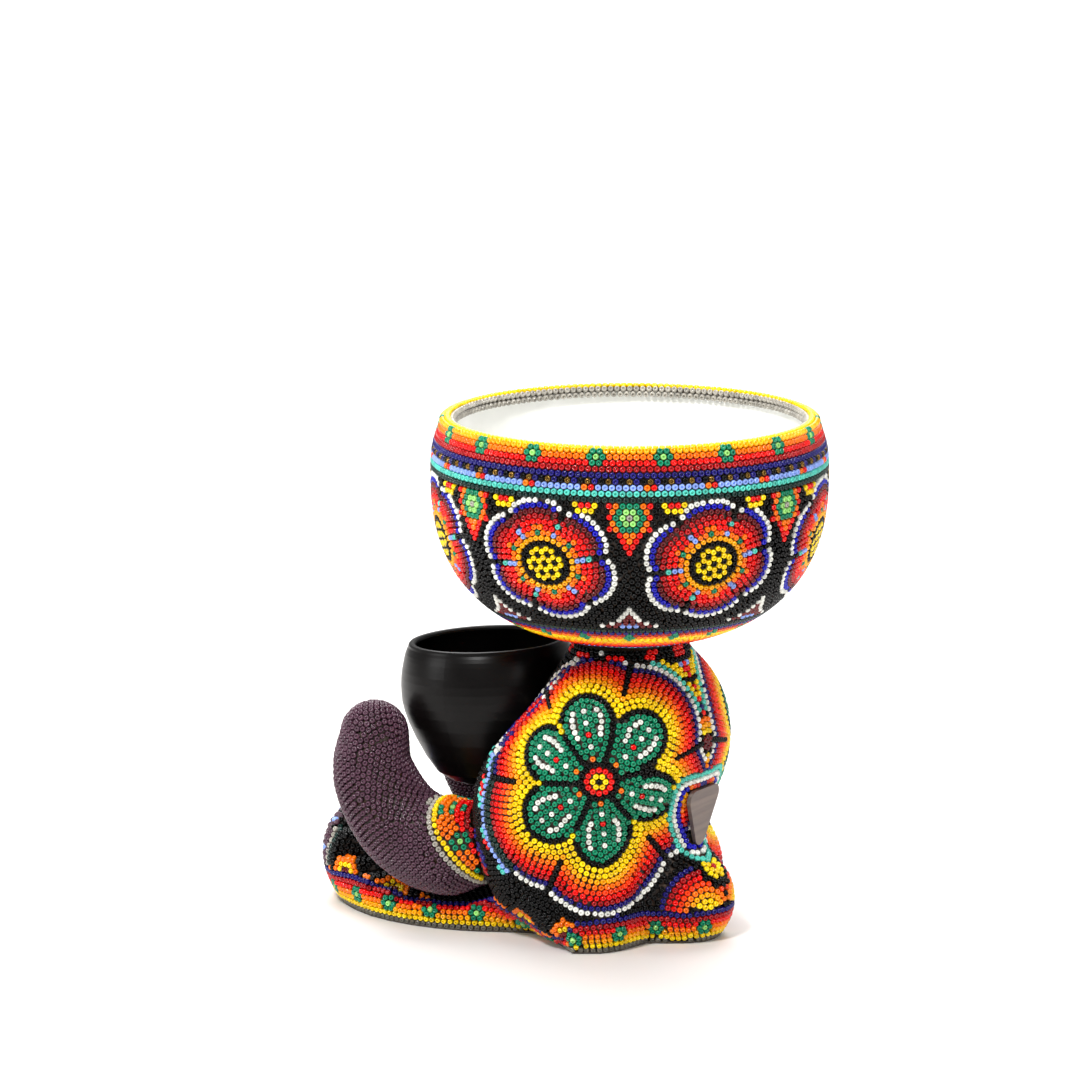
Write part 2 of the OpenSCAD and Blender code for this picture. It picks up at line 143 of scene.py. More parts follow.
class Skin:
    """A smooth surface half a bead above the wax, where the beads' middles lie."""

    def __init__(self, co, tri, lift):
        keys = np.round(co, 2)
        _, first, back = np.unique(keys, axis=0, return_index=True, return_inverse=True)
        co, tri = co[first], back.reshape(-1)[tri]
        a, b, c = co[tri[:, 0]], co[tri[:, 1]], co[tri[:, 2]]
        cross = np.cross(b - a, c - a)
        good = np.linalg.norm(cross, axis=1) > 1e-6
        tri, cross = tri[good], cross[good]
        normal = np.zeros_like(co)
        for k in range(3):
            np.add.at(normal, tri[:, k], cross)
        normal /= np.maximum(np.linalg.norm(normal, axis=1), 1e-9)[:, None]
        self.co = [Vector(v) for v in co]
        self.normal = [Vector(v) for v in normal]
        self.tri = [tuple(int(i) for i in t) for t in tri]
        self.tree = BVHTree.FromPolygons(self.co, self.tri)
        self.lift = lift

    def _smooth(self, spot, i, face):
        """The bead's middle and direction over a spot of triangle i, rounded between its corners."""
        a, b, c = self.tri[i]
        pa, pb, pc = self.co[a], self.co[b], self.co[c]
        na, nb, nc = self.normal[a], self.normal[b], self.normal[c]
        n = barycentric_transform(spot, pa, pb, pc, na, nb, nc)
        qa = spot - na * (spot - pa).dot(na)
        qb = spot - nb * (spot - pb).dot(nb)
        qc = spot - nc * (spot - pc).dot(nc)
        soft = barycentric_transform(spot, pa, pb, pc, qa, qb, qc)
        n.normalize()
        if n.dot(face) < 0.92:
            n = (n + face * 2).normalized()
        share = (soft - spot).dot(n)
        share = max(-0.4, min(0.4, share))
        return spot + n * (self.lift + 0.6 * share), n

    def snap(self, p):
        """The place on the skin straight below or above a point near it."""
        spot, face, i, _ = self.tree.find_nearest(p)
        q, n = self._smooth(spot, i, face)
        aside = p - q
        aside -= n * aside.dot(n)
        if aside.length < 0.8:
            q += aside
        spot, face, _, _ = self.tree.find_nearest(q)
        lack = self.lift - (q - spot).dot(face)
        if 0 < lack < 2:
            q += face * lack
        return q, n

    def cast(self, origin, direction):
        spot, face, i, _ = self.tree.ray_cast(origin, direction)
        return None if spot is None else self._smooth(spot, i, face)

    def samples(self):
        """Places about a millimetre apart all over the skin."""
        for i, (a, b, c) in enumerate(self.tri):
            pa, pb, pc = self.co[a], self.co[b], self.co[c]
            cross = (pb - pa).cross(pc - pa)
            if cross.length < 0.5:
                continue
            n = 1 + int(max((pb - pa).length, (pc - pa).length, (pc - pb).length))
            for u in range(n + 1):
                for v in range(n + 1 - u):
                    spot = pa + (pb - pa) * (u / n) + (pc - pa) * (v / n)
                    yield self._smooth(spot, i, cross.normalized())

    def height(self, p):
        """Signed height of p above the beads' middles."""
        spot, _, i, _ = self.tree.find_nearest(p)
        a, b, c = self.tri[i]
        n = barycentric_transform(
            spot, self.co[a], self.co[b], self.co[c], self.normal[a], self.normal[b], self.normal[c]
        )
        n.normalize()
        d = p - spot
        return (d.length if d.dot(n) > 0 else -d.length) - self.lift


def outer_skin(wax, core, reach=0.6):
    """The outside of a wax layer: its faces that stand clear of what it coats."""
    co, tri = mesh_mm(wax)
    inner = tree_of(core)
    ends = co[:, 2].min() + 0.01, co[:, 2].max() - 0.01
    keep = []
    for t in tri:
        mid = Vector(co[t].mean(axis=0))
        level = co[t][:, 2].max() < ends[0] or co[t][:, 2].min() > ends[1]
        if not level and inner.find_nearest(mid)[3] > reach:
            keep.append(t)
    return Skin(co, np.array(keep), HALF)


# ---------- beads ----------
class Beads:
    """Beads laid side by side on one skin."""

    def __init__(self, skin, allowed, mirror=False):
        self.skin, self.allowed, self.mirror = skin, allowed, mirror
        self.at, self.normal, self.colour, self.cells = [], [], [], {}

    def _cell(self, p):
        return (int(p.x // PITCH), int(p.y // PITCH), int(p.z // PITCH))

    def near(self, p, reach):
        """Numbers of the beads within reach of p."""
        cx, cy, cz = self._cell(p)
        found = []
        for i in (cx - 1, cx, cx + 1):
            for j in (cy - 1, cy, cy + 1):
                for k in (cz - 1, cz, cz + 1):
                    for b in self.cells.get((i, j, k), ()):
                        if (self.at[b] - p).length < reach:
                            found.append(b)
        return found

    def put(self, p, n, colour=None, close=0.84):
        """Adds a bead at p, unless one is closer than this share of the pitch or p is not allowed."""
        if self.mirror and abs(p.x) > 0.01 and p.x < 0.46 * PITCH:
            return False
        if self.near(p, close * PITCH) or not self.allowed(p):
            return False
        self.cells.setdefault(self._cell(p), []).append(len(self.at))
        self.at.append(p)
        self.normal.append(n)
        self.colour.append(colour)
        return True

    def lay(self, p, colour=None, close=0.84):
        q, n = self.skin.snap(Vector(p))
        return self.put(q, n, colour, close)

    def row(self, path, colours, closed=False, pitch=PITCH, phase=0.0, close=0.84, last_one=True):
        """Beads in a row along a path of points.

        colours is one name, or a function of the share of the way.
        """
        path = [Vector(p) for p in path]
        if closed:
            path = path + [path[0]]
        steps = [0.0]
        for a, b in zip(path, path[1:]):
            steps.append(steps[-1] + (b - a).length)
        if steps[-1] < 0.3 * pitch:
            return
        count = max(1, round(steps[-1] / pitch))
        last = count + 1 if last_one and not closed else count
        j = 0
        for i in range(last):
            want = (i + phase) / count * steps[-1]
            if want > steps[-1]:
                if not closed:
                    break
                want -= steps[-1]
                j = 0
            while j < len(steps) - 2 and steps[j + 1] < want:
                j += 1
            t = (want - steps[j]) / max(steps[j + 1] - steps[j], 1e-9)
            colour = colours((i + phase) / count) if callable(colours) else colours
            self.lay(path[j].lerp(path[j + 1], t), colour, close)

    def grow(self, close=0.88):
        """Fills the free surface with rows that follow the beads already laid."""
        i = 0
        while i < len(self.at):
            p, n = self.at[i], self.normal[i]
            for j in self.near(p, 1.35 * PITCH):
                d = self.at[j] - p
                size = d.length
                if size < 0.1:
                    continue
                rise = math.sqrt(max(PITCH * PITCH - size * size / 4, 0.5))
                side = n.cross(d) / size
                for s in (rise, -rise):
                    apex = p + d / 2 + side * s
                    if self.near(apex, 0.7 * PITCH):
                        continue
                    q, m = self.skin.snap(apex)
                    self.put(q, m, None, close)
            i += 1

    def fill(self, close=0.80):
        """Puts slightly small beads into what gaps are left."""
        for i in range(len(self.at)):
            p, n = self.at[i], self.normal[i]
            side = n.orthogonal().normalized()
            other = n.cross(side)
            for k in range(12):
                a = k * math.pi / 6
                apex = p + (side * math.cos(a) + other * math.sin(a)) * (PITCH * 0.9)
                if self.near(apex, close * PITCH):
                    continue
                q, m = self.skin.snap(apex)
                if (q - apex).length < 1.0:
                    self.put(q, m, None, close)

    def _rehash(self):
        self.cells = {}
        for i, p in enumerate(self.at):
            self.cells.setdefault(self._cell(p), []).append(i)

    def relax(self, rounds=3):
        """Moves beads that crowd each other apart. Beads of a pattern give way less."""
        reach = 1.0 * PITCH
        for _ in range(rounds):
            moved = list(self.at)
            for i, p in enumerate(self.at):
                push = Vector()
                for j in self.near(p, reach):
                    if j != i:
                        d = p - self.at[j]
                        push += d * ((reach - d.length) / max(d.length, 0.2) * 0.42)
                if self.mirror and 0.01 < p.x < PITCH / 2:
                    push.x += 0.5 * (PITCH / 2 - p.x)
                if self.colour[i] is not None:
                    push *= 0.5
                if push.length < 0.02:
                    continue
                q, n = self.skin.snap(p + push)
                if self.mirror and p.x < 0.01:
                    q.x = n.x = 0
                    n.normalize()
                elif self.mirror and q.x < 0.46 * PITCH:
                    continue
                if self.allowed(q):
                    moved[i], self.normal[i] = q, n
            self.at = moved
            self._rehash()

    def cover(self):
        """Fills all that is free, as closely as the beads on the real figure sit."""
        self.grow()
        for _ in range(3):
            self.fill(0.72)
            self.relax()
        for p, n in self.skin.samples():
            if p.x > -0.01 or not self.mirror:
                self.put(p, n, None, 0.74)
        self.relax(2)

    def beside(self, line, count, colour, close=0.8):
        """Lays rows on both sides of a first row, each following the row before."""
        for side in (1, -1):
            now = list(line)
            for _ in range(count):
                path = []
                for a, b in zip(now, now[1:]):
                    n = self.skin.snap((a + b) / 2)[1]
                    path.append(self.skin.snap((a + b) / 2 + n.cross(b - a).normalized() * side * ROW)[0])
                path = [path[0] * 2 - path[1]] + path + [path[-1] * 2 - path[-2]]
                for i in range(1, len(path) - 1):
                    path[i] = (path[i - 1] + path[i] * 2 + path[i + 1]) / 4
                first = len(self.at)
                self.row(path, colour, close=close)
                now = self.at[first:]
                if len(now) < 4:
                    break


class Chart:
    """Flat drawing coordinates round a point of a skin, as seen from outside."""

    def __init__(self, skin, centre, up=(0, 0, 1)):
        self.skin = skin
        self.c, self.n = skin.snap(Vector(centre))
        up = Vector(up)
        self.v = (up - self.n * up.dot(self.n)).normalized()
        self.u = self.v.cross(self.n)

    def flat(self, p):
        """x, y of a point, or None where it lies round the far side."""
        d = p - self.c
        x, y, h = d.dot(self.u), d.dot(self.v), math.hypot(d.dot(self.u), d.dot(self.v))
        if h < 1e-6:
            return 0.0, 0.0
        if d.dot(self.n) < -1.1 * h:
            return None
        k = d.length / h
        return x * k, y * k

    def lift(self, x, y):
        q = self.c + self.u * x + self.v * y
        p, _ = self.skin.snap(q)
        for _ in range(6):
            now = self.flat(p)
            if now is None:
                return p
            ex, ey = x - now[0], y - now[1]
            if abs(ex) + abs(ey) < 0.03:
                break
            p, _ = self.skin.snap(p + self.u * ex + self.v * ey)
        return p

    def curve(self, points):
        return [self.lift(x, y) for x, y in points]


def around(radius, start=0.0, end=360.0, step=1.2):
    """Points of an arc about the chart's centre; radius is a number or a function of the angle."""
    mean = radius if not callable(radius) else radius((start + end) / 2)
    n = max(6, int(abs(end - start) * math.pi / 180 * mean / step))
    out = []
    for i in range(n + (0 if abs(end - start) >= 360 else 1)):
        a = start + (end - start) * i / n
        r = radius(a) if callable(radius) else radius
        out.append((r * math.cos(math.radians(a)), r * math.sin(math.radians(a))))
    return out


def turn_gap(a, b):
    """Degrees between two directions."""
    return abs((a - b + 180) % 360 - 180)


# ---------- one bead ----------
SIDES = 10
PROFILE = ((0.93, -0.75), (1.04, -0.05), (0.88, 0.56), (0.62, 0.75), (0.42, 0.55), (0.37, 0.05))


def bead_form():
    """A low glass ring closed below, with its hole open at the top."""
    verts = [(0, 0, -HALF)]
    for r, z in PROFILE:
        for k in range(SIDES):
            a = 2 * math.pi * k / SIDES
            verts.append((r * math.cos(a), r * math.sin(a), z))
    verts.append((0, 0, 0.02))
    faces = []
    last = len(verts) - 1
    for k in range(SIDES):
        m = (k + 1) % SIDES
        faces.append((0, 1 + m, 1 + k))
        top = 1 + (len(PROFILE) - 1) * SIDES
        faces.append((last, top + k, top + m))
        for r in range(len(PROFILE) - 1):
            a, b = 1 + r * SIDES + k, 1 + r * SIDES + m
            faces.append((a, b, b + SIDES))
            faces.append((a, b + SIDES, a + SIDES))
    return np.array(verts, float), np.array(faces, np.int32)


FORM, FACES = bead_form()


def bead_piece(name, places, body, node, slot):
    """One mesh of beads. places holds (middle, normal, colour, size, tint, spin)."""
    used = sorted({(p[2], p[4]) for p in places})
    index = {u: i for i, u in enumerate(used)}
    count, nv, nf = len(places), len(FORM), len(FACES)
    co = np.empty((count, nv, 3))
    for i, (p, n, colour, size, tint, spin) in enumerate(places):
        side = n.orthogonal().normalized()
        other = n.cross(side)
        c, s = math.cos(spin), math.sin(spin)
        u = side * c + other * s
        v = other * c - side * s
        frame_m = np.array([u * size, v * size, n])
        co[i] = FORM @ frame_m + np.array(p)
    co = (co.reshape(-1, 3) / 1000).astype(np.float32)
    faces = (FACES[None] + (np.arange(count) * nv)[:, None, None]).reshape(-1, 3)
    slots = np.repeat([index[(p[2], p[4])] for p in places], nf).astype(np.int32)
    me = bpy.data.meshes.new(name)
    me.vertices.add(len(co))
    me.vertices.foreach_set("co", co.ravel())
    me.loops.add(faces.size)
    me.loops.foreach_set("vertex_index", faces.ravel().astype(np.int32))
    me.polygons.add(len(faces))
    me.polygons.foreach_set("loop_start", np.arange(0, faces.size, 3, dtype=np.int32))
    me.polygons.foreach_set("material_index", slots)
    me.polygons.foreach_set("use_smooth", np.ones(len(faces), bool))
    for colour, tint in used:
        me.materials.append(glass(colour, tint))
    me.update()
    me.validate()
    ob = bpy.data.objects.new(name, me)
    bpy.context.scene.collection.objects.link(ob)
    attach(ob, body)
    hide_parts(node)
    return ob


# ---------- the large bowl ----------
FACING = 30.0       # the bowl's pattern starts here, in degrees from +X towards +Y


def bowl_profile():
    """Radius and height of the beads' middles, from inside the mouth over the rim down to the foot."""
    co, _ = mesh_mm("bowl_rim_beads")
    radius = np.hypot(co[:, 0], co[:, 1])
    top = co[:, 2].max()
    crest = radius[co[:, 2] > top - 0.02].mean()
    rim_round = crest - radius.min()
    low = top - rim_round
    bend = rim_round - HALF
    arc = [
        (crest + bend * math.cos(math.radians(a)), low + bend * math.sin(math.radians(a)))
        for a in range(200, 20, -6)
    ]
    tree = tree_of("bowl_wax")
    focus = Vector((30, 0, 150))
    side = []
    for i in range(264):
        a = math.radians(31 - i * 0.5)
        d = Vector((math.cos(a), 0, math.sin(a)))
        spot = tree.ray_cast(focus + d * 200, -d)[0]
        if spot is not None:
            side.append((spot.x, spot.z))
    side = np.array(side)
    for _ in range(6):
        side[1:-1] = (side[:-2] + 2 * side[1:-1] + side[2:]) / 4
    run = np.gradient(side, axis=0)
    run /= np.linalg.norm(run, axis=1)[:, None]
    side = side + np.stack([-run[:, 1], run[:, 0]], 1) * HALF
    side = side[side[:, 1] < arc[-1][1] - 0.3]
    line = np.array(arc + [tuple(p) for p in side[::3]])
    return line


profile = bowl_profile()
profile_s = np.concatenate([[0], np.cumsum(np.linalg.norm(np.diff(profile, axis=0), axis=1))])


def bowl_rz(s):
    return np.interp(s, profile_s, profile[:, 0]), np.interp(s, profile_s, profile[:, 1])


def bowl_point(s, degrees):
    r, z = bowl_rz(s)
    a = math.radians(FACING + degrees)
    return Vector((r * math.cos(a), r * math.sin(a), z))


def bowl_skin():
    turns = 240
    fine = [bowl_rz(s) for s in np.linspace(0, profile_s[-1], 150)]
    co = [
        (r * math.cos(a), r * math.sin(a), z)
        for r, z in fine
        for a in (2 * math.pi * k / turns for k in range(turns))
    ]
    tri = []
    for i in range(len(fine) - 1):
        for k in range(turns):
            a, b = i * turns + k, i * turns + (k + 1) % turns
            tri += [(a, a + turns, b + turns), (a, b + turns, b)]
    return Skin(np.array(co), np.array(tri), 0.0)


bowl = Beads(bowl_skin(), lambda p: True)


def s_at(z):
    """Way along the profile to where the bowl's side passes height z."""
    side = np.arange(len(profile)) > 30
    return float(np.interp(-z, -profile[side, 1], profile_s[side]))


def ring(s, count, phase, colours):
    """A ring of beads. colours is a name, or a function of the bead's number."""
    for k in range(count):
        name = colours(k) if callable(colours) else colours
        p, n = bowl.skin.snap(bowl_point(s, (k + phase) * 360 / count))
        bowl.put(p, n, name, 0.7)


def patch(s, degrees, rows, pitch=2.2, drop=1.92):
    """Short centred rows of beads below one another. Each row is a list of colours."""
    for m, colours in enumerate(rows):
        r, _ = bowl_rz(s + m * drop)
        for i, name in enumerate(colours):
            if name:
                x = (i - (len(colours) - 1) / 2) * pitch
                p, n = bowl.skin.snap(bowl_point(s + m * drop, degrees + math.degrees(x / r)))
                bowl.put(p, n, name, 0.8)


def letters(text):
    """Colour names from one letter each; a dot leaves the place free."""
    table = {
        "R": "red", "O": "orange", "G": "green", "L": "lime", "S": "pearl", "Y": "yellow", "W": "white",
        "M": "maroon", "K": "sky", "B": "black", ".": None,
    }
    return [table[c] for c in text]


AROUND = 180        # beads in each row of the rim
CREST = 4.05
RIM_ROW = 1.97
RIM = ["yellow", "amber", "orange", "red", "crimson", "navy", "navy", "sky", "turquoise", "bottle"]
ring(CREST - 3.75, 166, 0.5, "pearl")
ring(CREST - 1.95, 170, 0.0, "pearl")
for k, name in enumerate(RIM):
    shift = 0.5 * (k % 2)

    def colour(i, k=k, name=name, shift=shift):
        place = (i + shift + 5) % 10        # 18 flowers, at 10, 30, 50 degrees and so on
        away = min(place, 10 - place)
        if k == 2 and away < 0.2:
            return "lime"
        if k in (1, 3) and away < 0.7 or k == 2 and away < 1.2:
            return "green"
        if k == 6:
            return "gold" if i % 3 == 0 else ("navy" if i % 3 == 1 else "black")
        if k == 7:
            return {2: "orange", 3: "red"}.get(i % 9, "sky")
        return name

    ring(CREST + k * RIM_ROW, AROUND, shift, colour)

first = CREST + len(RIM) * RIM_ROW
TRIANGLE = [
    "ROGGGOR", "OGLLGO", "RGLSLGR", "OGLLGO", "ROGGGOR", "ROOR", "ROR", "RR", "R",
]
CHEVRON = ["W", "WW", "WMW", "WMMW", "WMMMMW", "WMMKKKMMW", "WMKKKKKKKKMW"]
ROSETTES = 7
sectors = [i * 360 / ROSETTES for i in range(ROSETTES)]
base = s_at(112.4) + 3.6
BASE = ["bottle", "navy", "crimson", "orange", "yellow", "yellow", "amber", "orange", "flame", "red",
        "crimson", "navy", "sky", "turquoise", "bottle", "black", "black", "black"]
for k, name in enumerate(BASE):
    s = base + k * 1.9
    r, _ = bowl_rz(s)
    if s > profile_s[-1] - 0.9:
        break
    count = 18 * round(2 * math.pi * r / 2.13 / 18)
    each = count // 18
    shift = 0.5 * (k % 2)

    def colour(i, k=k, name=name, each=each, shift=shift):
        place = (i + shift) % each
        away = min(place, each - place)
        if k == 3 and away < 0.2:
            return "lime"
        if k in (2, 4) and away < 0.7 or k == 3 and away < 1.2:
            return "green"
        return name

    ring(s, count, shift, colour)
for a in sectors:
    patch(first, a, [letters(t) for t in TRIANGLE])
    patch(s_at(119.0), a, [letters(t) for t in CHEVRON])
    for b in (a + 12.86, a - 12.86):     # a quarter of the way to the next triangle
        patch(first, b, [letters("YRRY"), letters("YYY")])

ROSETTE = [     # radius at a lobe, radius at a notch, colour
    (7.35, 7.35, "black"), (9.2, 9.2, "amber"), (11.1, 11.0, "orange"), (13.0, 12.7, "flame"),
    (14.95, 14.3, "red"), (16.9, 15.7, "crimson"), (18.85, 16.9, "maroon"), (20.75, 18.2, "blue"),
    (22.65, 19.6, "white"),
]


def lobe(top, notch, lobes, turn):
    """Radius against angle of a ring with pointed notches between round lobes."""

    def at(a):
        d = (a - turn + 180 / lobes) % (360 / lobes) - 180 / lobes
        return notch + (top - notch) * math.cos(math.radians(d * lobes / 2)) ** 0.8

    return at


def stretch(points, sx, sy):
    return [(x * sx, y * sy) for x, y in points]


def honeycomb(beads, chart, rings, pitch, turn, colours):
    """A patch of close-packed beads. colours is a function of the two lattice numbers."""
    for i in range(-rings, rings + 1):
        for j in range(-rings, rings + 1):
            far = max(abs(i), abs(j), abs(i + j))
            if far > rings or (far == rings and rings > 2 and 0 in (i, j, i + j)):
                continue
            x, y = (i + j / 2) * pitch, j * 0.866 * pitch
            c, s = math.cos(math.radians(turn)), math.sin(math.radians(turn))
            beads.lay(chart.lift(x * c - y * s, x * s + y * c), colours(i, j), 0.8)


def rosette(beads, chart, rings, turn, sx, sy, lobes=6):
    """A flower of yellow honeycomb and lobed rings. rings holds (radius, radius at a notch, colour)."""
    honeycomb(beads, chart, 3, 2.08, turn, lambda i, j: "black" if (i - j) % 3 == 0 else "yellow")
    step = 360 / lobes
    for top, notch, name in [rings[-1]] + rings[:-1]:
        edge = lobe(top, notch, lobes, turn)
        for k in range(lobes):
            start = turn + (k - 0.5) * step
            arc = chart.curve(stretch(around(edge, start, start + step), sx, sy))

            def colour(t, name=name, top=top):
                if t < 0.02 and name in ("orange", "flame", "red"):
                    return "turquoise" if name == "red" else "sky"
                if name == "orange" and abs(t - 0.5) < 0.07:
                    return "green"
                if name == "flame" and abs(t - 0.5) > 0.16:
                    return "red"
                if name == "flame":
                    return "orange"
                if name in ("white", "blue", "maroon") and t < 0.03:
                    return "black"
                return name

            length = sum((b - a).length for a, b in zip(arc, arc[1:]))
            even = 2 if name == "orange" else 1
            count = max(2, even * round(length / PITCH / even))
            beads.row(arc, colour, pitch=length / count, close=0.78, last_one=False)


def rosette_colour(rings, x, y, turn, lobes=6):
    """Colour of the ring a point of the flower lies in."""
    r, a = math.hypot(x, y), math.degrees(math.atan2(y, x))
    for top, notch, name in rings:
        if r < lobe(top, notch, lobes, turn)(a) + ROW / 2:
            return name
    return None


WIDE, TALL = 1.045, 0.955       # a rosette is a little wider than it is tall
rosettes = []
for i, a in enumerate(sectors):
    middle = a + 180 / ROSETTES
    chart = Chart(bowl.skin, bowl_point(s_at(134.0), middle))
    turn = 40.0 + 7 * math.sin(3.1 * i)
    rosettes.append((chart, turn))
    rosette(bowl, chart, ROSETTE, turn, WIDE, TALL)
bowl.cover()
for i, p in enumerate(bowl.at):
    if bowl.colour[i] is None:
        for chart, turn in rosettes:
            spot = chart.flat(p)
            if spot and math.hypot(*spot) < 26:
                bowl.colour[i] = rosette_colour(ROSETTE, spot[0] / WIDE, spot[1] / TALL, turn)
        bowl.colour[i] = bowl.colour[i] or "black"
print("bowl beads", len(bowl.at))


# ---------- pieces from beads ----------
def settle(beads, claims, body):
    """Shares the beads out to the CAD nodes they stand for, and makes the pieces."""
    shells = [(node, slot, tree_of(node)) for node, slot in claims]
    groups = {node: [] for node, _ in claims}
    copies = []
    for i, p in enumerate(beads.at):
        copies.append((p, beads.normal[i], beads.colour[i], i))
        if beads.mirror and p.x > 0.3:
            q, m = Vector((-p.x, p.y, p.z)), beads.normal[i]
            copies.append((q, Vector((-m.x, m.y, m.z)), beads.colour[i], i))
    for p, n, name, i in copies:
        close_by = beads.near(beads.at[i], 1.2 * PITCH)
        others = [(beads.at[j] - beads.at[i]).length for j in close_by if j != i]
        room = min(others) if others else PITCH
        size = min(1.02, max(0.80, room / (2 * BEAD_RADIUS))) * rng.uniform(0.97, 1.02)
        tilt = Vector((rng.uniform(-1, 1), rng.uniform(-1, 1), rng.uniform(-1, 1))) * 0.07
        facing = (n + tilt).normalized()
        node = min(shells, key=lambda s: s[2].find_nearest(p)[3])[0] if len(shells) > 1 else shells[0][0]
        groups[node].append((p, facing, name, size, rng.randrange(3), rng.uniform(0, 6.28)))
    slots = {node: slot for node, slot, _ in shells}
    made = []
    for node, places in groups.items():
        if not places:
            print("no beads for", node)
            continue
        centre = sum((p[0] for p in places), Vector()) / len(places)
        places.sort(key=lambda p: math.atan2(p[0].y - centre.y, p[0].x - centre.x))
        parts = -(-len(places) // MAX_BEADS)
        for k in range(parts):
            share = places[len(places) * k // parts:len(places) * (k + 1) // parts]
            name = f"{node}_set" if parts == 1 else f"{node}_set_{k + 1}"
            made.append(bead_piece(name, share, body, node, slots[node]))
    return made


settle(
    bowl,
    [
        ("bowl_rim_beads", "trim_beads"), ("bowl_band_beads", "bowl_beads"),
        ("bowl_flower_beads", "bowl_beads"), ("bowl_foot_beads", "trim_beads"),
    ],
    "figure",
)

# ---------- the figure ----------
body_skin = outer_skin("body_wax", "body_core", 0.2)
arm_skin = outer_skin("right_arm_wax", "right_arm_core", 0.3)
plate_tree, arm_tree = tree_of("name_plate"), tree_of("right_arm_core")
neck_top = mesh_mm("neck_beads")[0][:, 2].max() - 1.0


def turned(r, a):
    """x, y at radius r in direction a."""
    return r * math.cos(math.radians(a)), r * math.sin(math.radians(a))


def depth_in(tree, p):
    """Signed distance outside a closed solid."""
    spot, n, _, d = tree.find_nearest(p)
    return d if (p - spot).dot(n) > 0 else -d


def body_free(p):
    """Whether a bead on the body is clear of the neck's end, the floor, the plate and the arm."""
    if p.z > neck_top or p.z < 1.45 or p.x < -0.01:
        return False
    if p.x < 16 and p.y > 0 and plate_tree.find_nearest(p)[3] < 1.25:
        return False
    return not (p.x > 6 and p.y < -20 and depth_in(arm_tree, p) < 3.5)


body = Beads(body_skin, body_free, mirror=True)


def body_cast(z, degrees):
    """Beads' middle on the body at height z, from -90 at the front over 0 at the side to 90 at the back."""
    a = math.radians(degrees)
    y = np.interp(z, (0, 28, 42, 98), (-32, -30, -9, 0))
    return body_skin.cast(Vector((0, y, z)), Vector((math.cos(a), math.sin(a), 0)))


def body_level(z):
    path = [body_cast(z, a)[0] for a in np.linspace(-90, 90, 181)]
    for end in (0, -1):
        path[end].x = 0
    return path


# trim round the foot: rows one above the other, measured up the surface
TRIM = ["grey", "yellow", "amber", "orange", "red", "crimson", "navy"]
TRIM_ROW = 1.76
trim_paths = [[] for _ in TRIM]
for a in np.linspace(-90, 90, 241):
    rise = [body_cast(z, a)[0] for z in np.arange(2.0, 19, 0.8)]
    steps = np.concatenate([[0], np.cumsum([(q - p).length for p, q in zip(rise, rise[1:])])])
    for k in range(len(TRIM)):
        want = TRIM_ROW * k
        j = min(max(int(np.searchsorted(steps, want)), 1), len(steps) - 1)
        t = (want - steps[j - 1]) / (steps[j] - steps[j - 1])
        trim_paths[k].append(rise[j - 1].lerp(rise[j], t))
for path in trim_paths:
    path[0].x = path[-1].x = 0
trim_map = KDTree(sum(len(path) for path in trim_paths))
for k, path in enumerate(trim_paths):
    for i, p in enumerate(path):
        trim_map.insert(p, k * 1000 + i)
trim_map.balance()


def way(path):
    """Length of a path."""
    return sum((q - p).length for p, q in zip(path, path[1:]))


def share_point(path, share):
    """The point at a share of a path's length."""
    want, gone = way(path) * share, 0.0
    for p, q in zip(path, path[1:]):
        step = (q - p).length
        if gone + step >= want:
            return p.lerp(q, (want - gone) / step)
        gone += step
    return path[-1].copy()


flower_count = round(way(trim_paths[3]) / 16.8)
for i in range(flower_count):
    chart = Chart(body_skin, share_point(trim_paths[3], (i + 0.5) / flower_count))
    body.lay(chart.c, "lime")
    for k in range(6):
        body.lay(chart.lift(*turned(2.02, 60 * k)), "green", 0.7)
for k, name in enumerate(TRIM):
    body.row(trim_paths[k], name, phase=0.5 * (k % 2), close=0.74)


def trim_top(y):
    """Place on the trim's top row, on the right, where it passes y."""
    side = [p for p in trim_paths[-1] if p.x > 3]
    return min(side, key=lambda p: abs(p.y - y))


class Dome(Chart):
    """A chart on a rounded place: distances run along a ball of radius round."""

    def __init__(self, skin, centre, round, up=(0, 0, 1)):
        self.round = round
        super().__init__(skin, centre, up)

    def flat(self, p):
        d = p - self.c
        x, y = d.dot(self.u), d.dot(self.v)
        h = math.hypot(x, y)
        if h < 1e-6:
            return 0.0, 0.0
        if d.dot(self.n) < -1.5 * h:
            return None
        k = 2 * self.round * math.asin(min(1, d.length / (2 * self.round))) / h
        return x * k, y * k


# the plate's border, then the neck
plate_co, _ = mesh_mm("name_plate")
low, top = plate_co.min(axis=0), plate_co.max(axis=0)
mid_z, wide, tall = (low[2] + top[2]) / 2, (top[0] - low[0]) / 2, (top[2] - low[2]) / 2
corner = 3.2
for gap, name in ((1.35, "blue"), (3.2, "white"), (5.05, "turquoise")):
    w, h = wide + gap, tall + gap
    outline = [
        (0, mid_z + h), (w - corner, mid_z + h), (w - 0.9, mid_z + h - 0.9),
        (w, mid_z + h - corner - 0.5), (w - 1.2, mid_z + 2), (4.5 + gap * 0.55, mid_z - h + 4.5),
        (3.2 + 0.3 * gap, mid_z - h + 1.2), (0, mid_z - h),
    ]
    path = []
    for (xa, za), (xb, zb) in zip(outline, outline[1:]):
        for i in range(8):
            x, z = xa + (xb - xa) * i / 8, za + (zb - za) * i / 8
            path.append(body_skin.cast(Vector((x, -5, z)), Vector((0, 1, 0)))[0])
    last = body_skin.cast(Vector((0, -5, outline[-1][1])), Vector((0, 1, 0)))[0]
    body.row(path + [last], name, close=0.78)
for k in range(2):
    body.row(
        body_level(neck_top - 0.4 - 1.8 * k),
        lambda t, k=k: "red" if int(t * 26 + 0.5 * k) % 5 < 2 else "black",
    )

